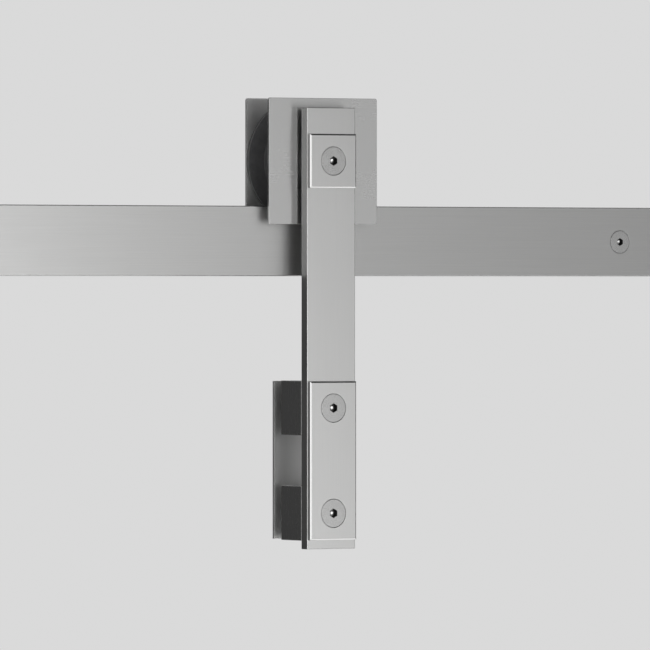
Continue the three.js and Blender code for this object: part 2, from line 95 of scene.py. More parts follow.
def brushed(name, tone, rough, axis, aniso=0.6, grain=1.0, seed=0.0):
    """Linear-brushed stainless steel: the grain runs along one axis, at three widths, with faint smudges."""
    m, g = material(name)
    obj = g.node("TexCoord").outputs["Object"]
    k = "XYZ".index(axis)

    def stretch(along, across):
        s = [across] * 3
        s[k] = along
        return tuple(s)

    fine = g.noise(g.mapped(obj, stretch(26, 7600), (seed, seed * 1.7, seed * 0.6)), 1.0, 3.0, 0.6)
    band = g.noise(g.mapped(obj, stretch(9, 2400), (seed * 2.1, seed, seed * 1.3)), 1.0, 2.0, 0.5)
    smudge = g.noise(g.mapped(obj, (1, 1, 1), (seed * 3, seed, seed)), 28.0, 4.0, 0.55, 0.4)
    mixv = g.math("ADD", g.math("MULTIPLY", fine, 0.72), g.math("MULTIPLY", band, 0.28))
    lo = tuple(c * (1 - 0.045 * grain) for c in tone)
    hi = tuple(min(1, c * (1 + 0.045 * grain)) for c in tone)
    color = g.tint(g.ramp(mixv, 0.3, 0.7, 0.0, 1.0), lo, hi)
    r1 = g.ramp(mixv, 0.3, 0.7, rough + 0.025 * grain, rough - 0.025 * grain)
    r2 = g.math("ADD", r1, g.ramp(smudge, 0.45, 0.75, 0.0, 0.02), clamp=True)
    bump = g.node("Bump", {"Height": mixv, "Strength": 0.12 * grain, "Distance": 0.00001})
    tangent = g.node("Tangent", direction_type="RADIAL", axis=axis)
    p = g.node("BsdfPrincipled", {"Base Color": color, "Metallic": 1.0, "Roughness": r2,
                                  "Normal": bump.outputs[0], "Tangent": tangent.outputs[0],
                                  "Anisotropic": aniso})
    g.t.links.new(p.outputs[0], g.out.inputs[0])
    return m


def radius_from(g, cx, cz):
    """Distance from an axle along Y through (cx, cz), in metres."""
    obj = g.node("TexCoord").outputs["Object"]
    s = g.node("SeparateXYZ", {0: obj})
    dx = g.math("SUBTRACT", s.outputs[0], cx * MM)
    dz = g.math("SUBTRACT", s.outputs[2], cz * MM)
    rr = g.math("SQRT", g.math("ADD", g.math("MULTIPLY", dx, dx), g.math("MULTIPLY", dz, dz)))
    return obj, s, rr


def turned_metal(name, tone, rough, cx, cz, lines=5200.0, depth=0.25):
    """Metal faced on a lathe: fine rings about the axle, and faint handling marks."""
    m, g = material(name)
    obj, s, rr = radius_from(g, cx, cz)
    y = s.outputs[1]
    vec = g.node("CombineXYZ", {0: g.math("MULTIPLY", rr, lines), 1: g.math("MULTIPLY", y, lines * 0.7), 2: 0.0}).outputs[0]
    rings = g.noise(vec, 1.0, 2.0, 0.6)
    smudge = g.noise(obj, 180.0, 3.0, 0.5)
    lo = tuple(c * 0.92 for c in tone)
    hi = tuple(min(1, c * 1.06) for c in tone)
    color = g.tint(g.ramp(rings, 0.3, 0.7, 0, 1), lo, hi)
    r = g.math("ADD", g.ramp(rings, 0.3, 0.7, rough + 0.03, rough - 0.03), g.ramp(smudge, 0.45, 0.8, 0, 0.05), clamp=True)
    bump = g.node("Bump", {"Height": rings, "Strength": depth, "Distance": 0.00002})
    p = g.node("BsdfPrincipled", {"Base Color": color, "Metallic": 1.0, "Roughness": r, "Normal": bump.outputs[0]})
    g.t.links.new(p.outputs[0], g.out.inputs[0])
    return m


def nylon(name, cx, cz):
    """Dark turned nylon: fine concentric tool marks and a slight mottle."""
    m, g = material(name)
    obj, s, rr = radius_from(g, cx, cz)
    vec = g.node("CombineXYZ", {0: g.math("MULTIPLY", rr, 2600.0), 1: g.math("MULTIPLY", s.outputs[1], 1500.0), 2: 0.0}).outputs[0]
    rings = g.noise(vec, 1.0, 2.0, 0.5)
    mottle = g.noise(obj, 260.0, 4.0, 0.6)
    worn = g.ramp(rr, 0.0312, 0.0319, 0.0, 1.0)
    color = g.tint(g.ramp(mottle, 0.3, 0.7, 0, 1), (0.056, 0.056, 0.057), (0.080, 0.080, 0.082))
    r = g.math("ADD", g.ramp(rings, 0.3, 0.7, 0.42, 0.34), g.ramp(mottle, 0.4, 0.7, 0.0, 0.06), clamp=True)
    bump = g.node("Bump", {"Height": g.math("ADD", rings, g.math("MULTIPLY", mottle, 0.5)), "Strength": 0.25, "Distance": 0.00004})
    p = g.node("BsdfPrincipled", {"Base Color": color, "Roughness": r, "Normal": bump.outputs[0]})
    g.t.links.new(p.outputs[0], g.out.inputs[0])
    return m


def rubber(name):
    m, g = material(name)
    obj = g.node("TexCoord").outputs["Object"]
    fine = g.noise(obj, 2600.0, 3.0, 0.6)
    soft = g.noise(obj, 160.0, 3.0, 0.5)
    color = g.tint(g.ramp(soft, 0.35, 0.7, 0, 1), (0.012, 0.012, 0.012), (0.028, 0.027, 0.027))
    r = g.ramp(fine, 0.3, 0.7, 0.62, 0.82)
    bump = g.node("Bump", {"Height": fine, "Strength": 0.35, "Distance": 0.00005})
    p = g.node("BsdfPrincipled", {"Base Color": color, "Roughness": r, "Normal": bump.outputs[0]})
    g.t.links.new(p.outputs[0], g.out.inputs[0])
    return m


STEEL = (0.66, 0.66, 0.655)
BRIGHT = (0.70, 0.70, 0.695)
M_X = brushed("steel_brushed_along_x", STEEL, 0.46, "X", aniso=0.55, grain=0.9, seed=0.3)
M_Z = brushed("steel_brushed_along_z", (0.61, 0.61, 0.605), 0.30, "Z", aniso=0.80, grain=0.8, seed=1.1)
# Front guard plate: the steel given a much lighter tone (0.90) as painted light, standing in for the plate's bright
# lit look.
M_PLATE_PAINTED_LIGHT = brushed("steel_brushed_plate_painted_light", (0.90, 0.90, 0.895), 0.26, "X", aniso=0.93, grain=0.3, seed=2.3)
# Rear guard and clamp plates: the steel given a lighter tone (0.80) as painted light, standing in for light in the
# shaded gaps between the parts.
M_REAR_PAINTED_LIGHT = brushed("steel_satin_rear_plates_painted_light", (0.80, 0.80, 0.795), 0.46, "Z", aniso=0.5, grain=0.6, seed=5.2)
M_SIDE = brushed("steel_brushed_block", STEEL, 0.26, "Z", aniso=0.7, grain=0.7, seed=3.9)
M_EDGE = brushed("steel_polished_edge", BRIGHT, 0.13, "Z", aniso=0.2, grain=0.5, seed=0.9)
M_RUBBER = rubber("black_rubber")
# Socket walls: the screws' own steel given a near-black tone, painted shade in the hex recess.
M_SOCKET_PAINTED_SHADE = turned_metal("socket_walls_painted_shade", (0.10, 0.10, 0.10), 0.34, 0, 0, 2600.0, 0.3)


# ------------------------------------------------------------------ mesh helpers (millimetres in, metres out)

def make(name, bm, mats, body, smooth=35.0, weighted=True):
    me = bpy.data.meshes.new(name)
    bmesh.ops.recalc_face_normals(bm, faces=bm.faces[:])
    bm.transform(Matrix.Scale(MM, 4))
    bm.to_mesh(me)
    bm.free()
    for m in mats:
        me.materials.append(m)
    for p in me.polygons:
        p.use_smooth = True
    me.set_sharp_from_angle(angle=math.radians(smooth))
    o = bpy.data.objects.new(name, me)
    bpy.context.scene.collection.objects.link(o)
    if weighted:
        w = o.modifiers.new("weighted", "WEIGHTED_NORMAL")
        w.mode = "FACE_AREA"
        w.keep_sharp = True
        w.weight = 60
    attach(o, body)
    return o


def stand_for(obj, *nodes):
    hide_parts(*nodes)
    return obj


def cut(bm, *cutters):
    """Boolean difference of bmeshes (millimetres); the cutters are used up."""
    def temp(b, n):
        me = bpy.data.meshes.new(n)
        bmesh.ops.recalc_face_normals(b, faces=b.faces[:])
        b.to_mesh(me)
        b.free()
        o = bpy.data.objects.new(n, me)
        bpy.context.scene.collection.objects.link(o)
        return o
    base = temp(bm, "cut_base")
    tools = [temp(c, "cut_tool") for c in cutters]
    for t in tools:
        mod = base.modifiers.new("cut", "BOOLEAN")
        mod.operation, mod.solver, mod.object = "DIFFERENCE", "EXACT", t
    dg = bpy.context.evaluated_depsgraph_get()
    me = bpy.data.meshes.new_from_object(base.evaluated_get(dg))
    out = bmesh.new()
    out.from_mesh(me)
    bmesh.ops.remove_doubles(out, verts=out.verts[:], dist=1e-4)
    bpy.data.meshes.remove(me)
    for o in [base, *tools]:
        d = o.data
        bpy.data.objects.remove(o)
        bpy.data.meshes.remove(d)
    return out


def block(x0, x1, y0, y1, z0, z1, r=0.5, seg=3, front=None, edge_mat=1, corner=0.0, corner_seg=4):
    """A box with rounded edges. front: chamfer of the front face's edges, if different."""
    bm = bmesh.new()
    bmesh.ops.create_cube(bm, size=1.0)
    for v in bm.verts:
        v.co = Vector(((x0 if v.co.x < 0 else x1), (y0 if v.co.y < 0 else y1), (z0 if v.co.z < 0 else z1)))
    if corner:
        upright = [e for e in bm.edges if abs(e.verts[0].co.y - e.verts[1].co.y) > 1e-6]
        bmesh.ops.bevel(bm, geom=upright, offset=corner, segments=corner_seg, profile=0.5, affect="EDGES")
    if front:
        edges = [e for e in bm.edges if all(abs(v.co.y - y0) < 1e-6 for v in e.verts)]
        bmesh.ops.bevel(bm, geom=edges, offset=front, segments=1, affect="EDGES", material=edge_mat)
        rest = [e for e in bm.edges if e.is_manifold and e.calc_face_angle() > 0.3]
        bmesh.ops.bevel(bm, geom=rest, offset=r, segments=seg, profile=0.5, affect="EDGES", material=edge_mat)
    else:
        sharp = [e for e in bm.edges if e.calc_face_angle() > 0.8]
        bmesh.ops.bevel(bm, geom=sharp, offset=r, segments=seg, profile=0.5, affect="EDGES", material=edge_mat)
    return bm


def spin(x, z, rows, n=64, closed=False):
    """Surface of revolution about an axle along Y. rows: (radius, y), radius a number or a function of the turn (0..1)."""
    bm = bmesh.new()
    rings = []
    for r, y in rows:
        if not callable(r) and r <= 1e-6:
            rings.append([bm.verts.new((x, y, z))])
            continue
        ring = []
        for i in range(n):
            a = 2 * math.pi * i / n
            rad = r(i / n) if callable(r) else r
            ring.append(bm.verts.new((x + rad * math.sin(a), y, z + rad * math.cos(a))))
        rings.append(ring)
    pairs = list(zip(rings, rings[1:]))
    if closed:
        pairs.append((rings[-1], rings[0]))
    for a, b in pairs:
        for i in range(n):
            j = (i + 1) % n
            if len(a) == 1 and len(b) == 1:
                continue
            if len(a) == 1:
                bm.faces.new((a[0], b[i], b[j]))
            elif len(b) == 1:
                bm.faces.new((a[i], b[0], a[j]))
            else:
                bm.faces.new((a[i], b[i], b[j], a[j]))
    bmesh.ops.recalc_face_normals(bm, faces=bm.faces[:])
    return bm


def fillet(a, b, c, r, k=4):
    """Points of a round of about radius r at corner b of the path a, b, c (pairs)."""
    a, b, c = Vector(a), Vector(b), Vector(c)
    u, v = (a - b).normalized(), (c - b).normalized()
    half = u.angle(v) / 2
    d = min(r / math.tan(half), (a - b).length * 0.49, (c - b).length * 0.49)
    p, q = b + u * d, b + v * d
    out = []
    for i in range(k + 1):
        t = i / k
        out.append(tuple((1 - t) ** 2 * p + 2 * t * (1 - t) * b + t * t * q))
    return out


def rounded(profile, radii, closed=False, k=4):
    """profile: (r, y) corners; radii: the round at each corner, 0 for none."""
    out, n = [], len(profile)
    for i, p in enumerate(profile):
        r = radii[i] if i < len(radii) else 0
        if r and (closed or 0 < i < n - 1):
            out += fillet(profile[i - 1], p, profile[(i + 1) % n], r, k)
        else:
            out.append(p)
    return out


def thread_rows(y0, y1, major, minor, pitch, per=8, n=48, fade=1.0):
    """Rows of a helical V thread from y0 to y1."""
    rows = []
    steps = int(round((y1 - y0) / pitch * per))
    for s in range(steps + 1):
        y = y0 + (y1 - y0) * s / steps
        end = min(1.0, (y - y0) / (pitch * fade), (y1 - y) / (pitch * fade))
        def rad(turn, y=y, end=end):
            ph = (y / pitch - turn) % 1.0
            t = 1 - abs(2 * ph - 1)
            t = min(1.0, max(0.0, (t - 0.08) / 0.8))
            return minor + (major - minor) * t * end
        rows.append((rad, y))
    return rows


def hex_tool(x, z, y0, y1, flats, cone=1.2, axis="Y"):
    """A hexagon key's pocket with a drilled cone at its bottom."""
    bm = bmesh.new()
    R = flats / math.sqrt(3)
    top = [bm.verts.new((x + R * math.sin(math.radians(60 * i)), y0, z + R * math.cos(math.radians(60 * i)))) for i in range(6)]
    low = [bm.verts.new((v.co.x, y1, v.co.z)) for v in top]
    tip = bm.verts.new((x, y1 + cone, z))
    bm.faces.new(top)
    for i in range(6):
        j = (i + 1) % 6
        bm.faces.new((top[i], low[i], low[j], top[j]))
        bm.faces.new((low[i], tip, low[j]))
    bmesh.ops.recalc_face_normals(bm, faces=bm.faces[:])
    return bm


def sink_tool(x, z, y0, y1, r, head, rim, gap, n=96, lip=0.24):
    """The countersunk hole: a small rounded lip, the cone, then the clear bore."""
    R = head + gap
    yc = y0 + rim + gap * 0.4
    return spin(x, z, [(0, y0 - 3), (R + lip, y0 - 3), (R + lip, y0), (R + lip * 0.3, y0 + lip * 0.3), (R, y0 + lip),
                       (R, yc), (r, yc + R - r), (r, y1 + 3), (0, y1 + 3)], n)


def bore_tool(x, z, y0, y1, r, n=64, lip=0.2):
    return spin(x, z, [(0, y0 - 3), (r + lip + 3, y0 - 3), (r + lip, y0), (r, y0 + lip), (r, y1 - lip), (r + lip, y1),
                       (r + lip + 3, y1 + 3), (0, y1 + 3)], n)


def csk_screw(x, z, y0, tip, r, head, rim, flats, depth, pitch, minor, thread_from, n=72, point=0.8, wood=False):
    yc = y0 + rim + head - r
    rows = [(0, y0)] + fillet((0, y0), (head, y0), (head, y0 + rim), 0.22, 3)
    rows += fillet((head, y0), (head, y0 + rim), (r, yc), 0.1, 2)
    rows += fillet((head, y0 + rim), (r, yc), (r, yc + 5), 0.5, 3)
    if thread_from > yc + 0.5:
        rows.append((r, thread_from))
    if wood:
        rows += thread_rows(thread_from, tip - 5, r, minor, pitch, per=9, n=n, fade=0.6)[1:]
        rows += [(minor * 0.8, tip - 3.2), (minor * 0.42, tip - 1.2), (0, tip)]
    else:
        rows += thread_rows(thread_from, tip - point, r, minor, pitch, per=8, n=n, fade=0.8)[1:]
        rows += [(minor, tip - point * 0.6), (minor - point * 0.5, tip), (0, tip)]
    floor_y = y0 + depth
    drill = spin(x, z, [(0, floor_y - 0.3), (flats * 0.33, floor_y - 0.3), (flats * 0.33, floor_y), (0, floor_y + flats * 0.19)], 40)
    body = cut(spin(x, z, rows, n), hex_tool(x, z, y0 - 1, floor_y, flats, cone=0.0), drill)
    # Faces inside the hex pocket get slot 1, the near-black walls: painted shade in the socket.
    for f in body.faces:
        c = f.calc_center_median()
        if math.hypot(c.x - x, c.z - z) < flats / math.sqrt(3) and y0 + 0.05 < c.y < floor_y + 0.02:
            f.material_index = 1
    return body


def ring(x, z, y0, y1, rin, rout, edge=0.25, n=72):
    prof = [(rin, y0), (rout, y0), (rout, y1), (rin, y1)]
    return spin(x, z, rounded(prof, [edge] * 4, closed=True, k=3), n, closed=True)


# ------------------------------------------------------------------ rail and wall fixings

rail = block(-370, 370, -45, -27, -25, 25, r=0.7, seg=3)
rail = cut(rail, *[sink_tool(x, 0, -44.95, -27, 4.5, 8.1, 0.4, 0.2) for x in (-270, 270)])
stand_for(make("rail_bar", rail, [M_X, M_EDGE], "rail"), "track_rail")

for side, x in (("left", -270), ("right", 270)):
    m = turned_metal("standoff_turned_" + side, STEEL, 0.26, x, 0, 3600.0)
    prof = [(4.5, -26.95), (9.0, -26.95), (10, -26.0), (10, -15.2), (9.55, -14.8), (9.55, -14.0), (10, -13.6), (10, -0.9), (9.1, 0), (4.5, 0)]
    o = make("wall_standoff_" + side, spin(x, 0, rounded(prof, [0.2, 0.3, 0.4, 0.15, 0.15, 0.15, 0.15, 0.4, 0.3, 0.2], True, 3), 96, True),
             [m], "rail")
    stand_for(o, "standoff_" + side)
    m = turned_metal("rail_screw_metal_" + side, (0.64, 0.64, 0.635), 0.27, x, 0, 4200.0)
    o = make("rail_fixing_screw_" + side, csk_screw(x, 0, -44.95, 35, 4, 8.1, 0.4, 5, 3.2, 3.0, 2.75, -8, wood=True),
             [m, M_SOCKET_PAINTED_SHADE], "rail", smooth=30)
    stand_for(o, "rail_screw_" + side)

# ------------------------------------------------------------------ end stops

for side, s in (("left", -1), ("right", 1)):
    x0 = min(s * 326, s * 366)
    x1, xm = x0 + 40, x0 + 20
    b = block(x0, x1, -56, -16, 5, 50, r=0.5, seg=3, corner=1.5)
    slot_tool = bmesh.new()
    bmesh.ops.create_cube(slot_tool, size=1.0)
    for v in slot_tool.verts:
        v.co = Vector((x0 - 2 if v.co.x < 0 else x1 + 2, -45.3 if v.co.y < 0 else -26.7, 0 if v.co.z < 0 else 25.3))
    def down(cx, r, z0, z1, lip=0.3, n=48):
        t = spin(0, 0, [(0, z0), (r, z0), (r, z1 - lip), (r + lip, z1), (r + lip, z1 + 2), (0, z1 + 2)], n)
        bmesh.ops.rotate(t, verts=t.verts, cent=(0, 0, 0), matrix=Matrix.Rotation(math.radians(90), 3, "X"))
        bmesh.ops.translate(t, verts=t.verts, vec=(cx, -36, 0))
        return t
    def across(xa, xb, r, n=48):
        t = spin(0, 0, [(0, min(xa, xb)), (r, min(xa, xb)), (r, max(xa, xb)), (0, max(xa, xb))], n)
        bmesh.ops.rotate(t, verts=t.verts, cent=(0, 0, 0), matrix=Matrix.Rotation(math.radians(-90), 3, "Z"))
        bmesh.ops.translate(t, verts=t.verts, vec=(0, -36, 37.5))
        return t
    inner = s * 326
    b = cut(b, slot_tool, down(xm - 10, 3.3, 20, 50), down(xm + 10, 3.3, 20, 50), across(inner - s * 2, inner + s * 5.5, 3.3))
    stand_for(make("rail_stop_" + side, b, [M_Z, M_EDGE], "rail"), "end_stop_" + side)

    # bumper: pad with a soft edge, three shallow ribs on its working face, and its stem
    xa, xb = (inner - s * 5.95, inner - s * 0.05)
    xp0, xp1 = min(xa, xb), max(xa, xb)
    pad = bmesh.new()
    bmesh.ops.create_cube(pad, size=1.0)
    for v in pad.verts:
        v.co = Vector((xp0 if v.co.x < 0 else xp1, -55 if v.co.y < 0 else -17, 27 if v.co.z < 0 else 48))
    long_e = [e for e in pad.edges if abs(e.verts[0].co.x - e.verts[1].co.x) > 1e-6]
    bmesh.ops.bevel(pad, geom=long_e, offset=3.0, segments=6, profile=0.5, affect="EDGES")
    rest = [e for e in pad.edges if e.calc_face_angle() > 0.8]
    bmesh.ops.bevel(pad, geom=rest, offset=1.1, segments=4, profile=0.5, affect="EDGES")
    grooves = []
    for zc in (32.2, 37.5, 42.8):
        gt = bmesh.new()
        bmesh.ops.create_cube(gt, size=1.0)
        xw = inner - s * 6.0
        for v in gt.verts:
            v.co = Vector((xw - 0.7 if v.co.x < 0 else xw + 0.7, -51 if v.co.y < 0 else -21, zc - 0.7 if v.co.z < 0 else zc + 0.7))
        grooves.append(gt)
    pad = cut(pad, *grooves)
    stem = across(inner - s * 1.0, inner + s * 5.0, 3.0)
    tmp = bmesh.new()
    me_a = bpy.data.meshes.new("t"); pad.to_mesh(me_a); pad.free(); tmp.from_mesh(me_a); bpy.data.meshes.remove(me_a)
    me_a = bpy.data.meshes.new("t"); stem.to_mesh(me_a); stem.free(); tmp.from_mesh(me_a); bpy.data.meshes.remove(me_a)
    stand_for(make("rubber_bumper_" + side, tmp, [M_RUBBER], "rail", smooth=50), "stop_bumper_" + side)

    for i, cx in enumerate((xm - 10, xm + 10)):
        m = turned_metal("grub_metal_%s_%d" % (side, i + 1), (0.5, 0.5, 0.5), 0.3, cx, -36, 3000.0)
        rows = [(0, 25.1), (2.1, 25.1), (2.5, 25.6)] + thread_rows(25.8, 44.7, 3.0, 2.45, 1.0, per=8, n=40, fade=0.8) + [(2.3, 45.0), (0, 45.0)]
        t = spin(0, 0, rows, 40)
        t = cut(t, hex_tool(0, 0, 46, 42, 3, cone=-0.8))
        bmesh.ops.rotate(t, verts=t.verts, cent=(0, 0, 0), matrix=Matrix.Rotation(math.radians(90), 3, "X"))
        bmesh.ops.translate(t, verts=t.verts, vec=(cx, -36, 0))
        stand_for(make("grub_screw_%s_%d" % (side, i + 1), t, [m], "rail", smooth=30), "stop_grub_screw_%s_%d" % (side, i + 1))

# ------------------------------------------------------------------ hanger: strap, covers, plates

BOLT = dict(r=5.3, head=10.0, rim=0.5, gap=0.25)
strap = block(HX - 20, HX + 20, -65, -57, -219.5, 95, r=0.45, seg=3)
tools = [sink_tool(HX, z, -68.5, -57, **BOLT) for z in (AXLE_Z, *CLAMP_Z)]
tools += [spin(HX, z, [(0, -61.3), (2.15, -61.3), (2.15, -55), (0, -55)], 48) for z in (82, 32)]
strap = cut(strap, *tools)
stand_for(make("strap", strap, [M_Z, M_EDGE], "hanger"), "hanger_strap")

for name, node, z0, z1, centres in (("axle_cover", "axle_cover_plate", AXLE_Z - 19.25, AXLE_Z + 19.25, (AXLE_Z,)),
                                    ("clamp_cover", "clamp_cover_plate", -213.0, -100.0, CLAMP_Z)):
    c = block(HX - 19.25, HX + 19.25, -68.5, -65.05, z0, z1, r=0.12, seg=2, front=1.0, edge_mat=1)
    c = cut(c, *[sink_tool(HX, z, -68.5, -65, **BOLT) for z in centres])
    stand_for(make(name, c, [M_Z, M_EDGE], "hanger"), node)

front = block(HX - 45, HX + 45, -54, -52, 12, 102, r=0.25, seg=3, corner=1.5)
front = cut(front, bore_tool(HX, AXLE_Z, -54, -52, 5.3), *[bore_tool(HX, z, -54, -52, 2.15, 48, lip=0.1) for z in (82, 32)])
stand_for(make("guard_plate_front", front, [M_PLATE_PAINTED_LIGHT, M_EDGE], "hanger"), "front_guard_plate")
rear = cut(block(HX - 45, HX + 45, -22.8, -20.8, 12, 102, r=0.25, seg=3, corner=1.5), bore_tool(HX, AXLE_Z, -22.8, -20.8, 5.3))
stand_for(make("guard_plate_rear", rear, [M_REAR_PAINTED_LIGHT, M_EDGE], "hanger"), "rear_guard_plate")

for i, name in enumerate(("upper", "lower")):
    z = CLAMP_Z[i]
    b = cut(block(HX - 20, HX + 20, -56.95, -29, z - 19.5, z + 19.5, r=0.4, seg=3), bore_tool(HX, z, -56.95, -29, 5.3))
    stand_for(make("clamp_block_" + name, b, [M_SIDE, M_EDGE], "hanger"), "spacer_block_" + name)
back = cut(block(HX - 20, HX + 20, -19, -17, -213, -100, r=0.25, seg=3), *[bore_tool(HX, z, -19, -17, 5.3) for z in CLAMP_Z])
stand_for(make("clamp_plate_rear", back, [M_REAR_PAINTED_LIGHT, M_EDGE], "hanger"), "rear_clamp_plate")

# ------------------------------------------------------------------ axle and fasteners

M_AXLE = turned_metal("turned_about_axle", (0.64, 0.64, 0.635), 0.27, HX, AXLE_Z, 4200.0)
M_BEARING = turned_metal("ground_bearing_steel", (0.62, 0.63, 0.64), 0.13, HX, AXLE_Z, 6200.0, 0.15)
M_FACED = turned_metal("faced_ring_steel", STEEL, 0.24, HX, AXLE_Z, 3800.0)

def part(name, bm, mats, node, body="hanger", smooth=35.0):
    return stand_for(make(name, bm, mats, body, smooth), node)

part("axle_screw", csk_screw(HX, AXLE_Z, -68.45, -12.5, 4.95, 10, 0.5, 6, 3.6, 1.5, 4.12, -20.5), [M_AXLE, M_SOCKET_PAINTED_SHADE], "axle_bolt", smooth=30)
for i, name in enumerate(("upper", "lower")):
    m = turned_metal("clamp_screw_metal_" + name, (0.64, 0.64, 0.635), 0.27, HX, CLAMP_Z[i], 4200.0)
    part("clamp_screw_" + name, csk_screw(HX, CLAMP_Z[i], -68.45, -8.7, 4.95, 10, 0.5, 6, 3.6, 1.5, 4.12, -36.0), [m, M_SOCKET_PAINTED_SHADE],
         "clamp_bolt_" + name, smooth=30)
    rm = [M_RUBBER]
    part("gasket_front_" + name, ring(HX, CLAMP_Z[i], -28.95, -28.05, 5.5, 9.5, 0.2), rm, "front_gasket_" + name, smooth=50)
    part("gasket_rear_" + name, ring(HX, CLAMP_Z[i], -19.95, -19.05, 5.5, 9.5, 0.2), rm, "rear_gasket_" + name, smooth=50)

def nut_and_washer(label, node, z, y, metal, faced):
    """A thin hexagon nut, both faces chamfered, with its washer, behind a plate whose back face is at y."""
    part("plain_washer_" + label, ring(HX, z, y + 0.05, y + 1.45, 5.3, 10, 0.2), [faced], node[1])
    y0, y1 = y + 1.5, y + 6.5
    nut = bmesh.new()
    R = 17 / math.sqrt(3)
    lo = [nut.verts.new((HX + R * math.sin(math.radians(60 * i)), y0, z + R * math.cos(math.radians(60 * i)))) for i in range(6)]
    hi = [nut.verts.new((v.co.x, y1, v.co.z)) for v in lo]
    nut.faces.new(lo)
    nut.faces.new(list(reversed(hi)))
    for i in range(6):
        nut.faces.new((lo[i], hi[i], hi[(i + 1) % 6], lo[(i + 1) % 6]))
    def cone_tool(y_face, sgn):
        return spin(HX, z, [(8.3, y_face + sgn * 0.001), (8.3, y_face - sgn * 2), (14, y_face - sgn * 2), (14, y_face + sgn * 3.29)], 96, True)
    nut = cut(nut, cone_tool(y0, 1), cone_tool(y1, -1), bore_tool(HX, z, y0, y1, 5.15, 64, lip=0.5))
    part("hexagon_nut_" + label, nut, [metal], node[0], smooth=30)

nut_and_washer("axle", ("axle_nut", "axle_washer"), AXLE_Z, -20.8, M_AXLE, M_FACED)
for i, name in enumerate(("upper", "lower")):
    metal = turned_metal("clamp_nut_metal_" + name, BRIGHT, 0.18, HX, CLAMP_Z[i], 4200.0)
    faced = turned_metal("clamp_washer_metal_" + name, STEEL, 0.24, HX, CLAMP_Z[i], 3800.0)
    nut_and_washer("clamp_" + name, ("clamp_nut_" + name, "clamp_washer_" + name), CLAMP_Z[i], -17.0, metal, faced)
part("strap_spacer", ring(HX, AXLE_Z, -56.95, -54.05, 5.3, 15, 0.3, 96), [M_FACED], "strap_spacer_ring")
for name, z in (("upper", 82), ("lower", 32)):
    m = turned_metal("dowel_metal_" + name, (0.6, 0.6, 0.6), 0.15, HX, z, 5000.0)
    prof = [(0, -61.1), (1.6, -61.1), (2, -60.7), (2, -52.6), (1.7, -52.2), (0, -52.2)]
    part("dowel_" + name, spin(HX, z, rounded(prof, [0, 0.3, 0.3, 0.3, 0.3, 0], k=3), 48), [m], "dowel_pin_" + name)
part("shim_front", ring(HX, AXLE_Z, -51.95, -50.55, 5.3, 7.5, 0.12, 64), [M_BEARING], "front_shim")
part("shim_rear", ring(HX, AXLE_Z, -24.75, -22.85, 5.3, 7.5, 0.12, 64), [M_BEARING], "rear_shim")
part("sleeve_between_bearings", ring(HX, AXLE_Z, -41.45, -33.85, 5.3, 7.5, 0.2, 64), [M_BEARING], "hub_sleeve")

# ------------------------------------------------------------------ wheel and bearings

M_NYLON = nylon("dark_nylon", HX, AXLE_Z)
wheel = [(15.05, -50.9), (17.5, -50.9), (18.5, -50.1), (27.5, -50.1), (28.5, -50.9), (40, -50.9), (40, -46.2), (31.95, -46.2),
         (31.95, -25.5), (45, -25.5), (45, -23.3), (30.5, -23.3), (29.5, -24.1), (18.5, -24.1), (17.5, -23.3), (15.05, -23.3),
         (15.05, -33.85), (13, -33.85), (13, -41.45), (15.05, -41.45)]
radii = [0.3, 0.2, 0.3, 0.3, 0.2, 0.6, 0.6, 0.6, 0.5, 0.45, 0.45, 0.2, 0.3, 0.3, 0.2, 0.3, 0.1, 0.2, 0.2, 0.1]
part("roller_wheel", spin(HX, AXLE_Z, rounded(wheel, radii, True, 4), 180, True), [M_NYLON], "wheel", "wheel")

for name, y0, y1 in (("front", -50.5, -41.5), ("rear", -33.8, -24.8)):
    ym = (y0 + y1) / 2
    gr = 2.45
    def arc(land, sgn, k=9):
        half = math.sqrt(gr * gr - (10 - land) ** 2)
        return [(10 + sgn * math.sqrt(gr * gr - (half * (2 * t / k - 1)) ** 2), ym + half * (2 * t / k - 1)) for t in range(k + 1)]
    inner = [(5.1, y1 - 0.5), (5.1, y0 + 0.5), (5.6, y0), (8.35, y0), (8.5, y0 + 0.15)] + arc(8.5, -1) + [(8.5, y1 - 0.15), (8.35, y1), (5.6, y1)]
    part(name + "_race_inner", spin(HX, AXLE_Z, inner, 96, True), [M_BEARING], name + "_bearing_inner_ring")
    outer = [(15, y0 + 0.6), (15, y1 - 0.6), (14.4, y1), (11.75, y1), (11.6, y1 - 0.15)] + list(reversed(arc(11.6, 1))) + [(11.6, y0 + 0.15), (11.75, y0), (14.4, y0)]
    part(name + "_race_outer", spin(HX, AXLE_Z, outer, 120, True), [M_BEARING], name + "_bearing_outer_ring", "wheel")
    for side, ys in (("front", y0 + 0.4), ("rear", y1 - 0.8)):
        prof = [(8.7, ys), (9.2, ys), (9.5, ys + 0.1), (10.8, ys + 0.1), (11.1, ys), (11.5, ys), (11.5, ys + 0.4), (8.7, ys + 0.4)]
        part("%s_%s_seal" % (name, side), spin(HX, AXLE_Z, prof, 96, True), [M_RUBBER], "%s_bearing_%s_seal" % (name, side), "wheel", 50)
    cage = spin(HX, AXLE_Z, rounded([(9.5, ym - 1), (10.5, ym - 1), (10.5, ym + 1), (9.5, ym + 1)], [0.2] * 4, True, 2), 96, True)
    for i in range(8):
        a = 2 * math.pi * i / 8
        bmesh.ops.create_uvsphere(cage, u_segments=32, v_segments=20, radius=2.38,
                                  matrix=Matrix.Translation((HX + 10 * math.sin(a), ym, AXLE_Z + 10 * math.cos(a))))
    part(name + "_ball_set", cage, [M_BEARING], name + "_bearing_balls", name + "_balls", 60)

# ------------------------------------------------------------------ floor, light, camera

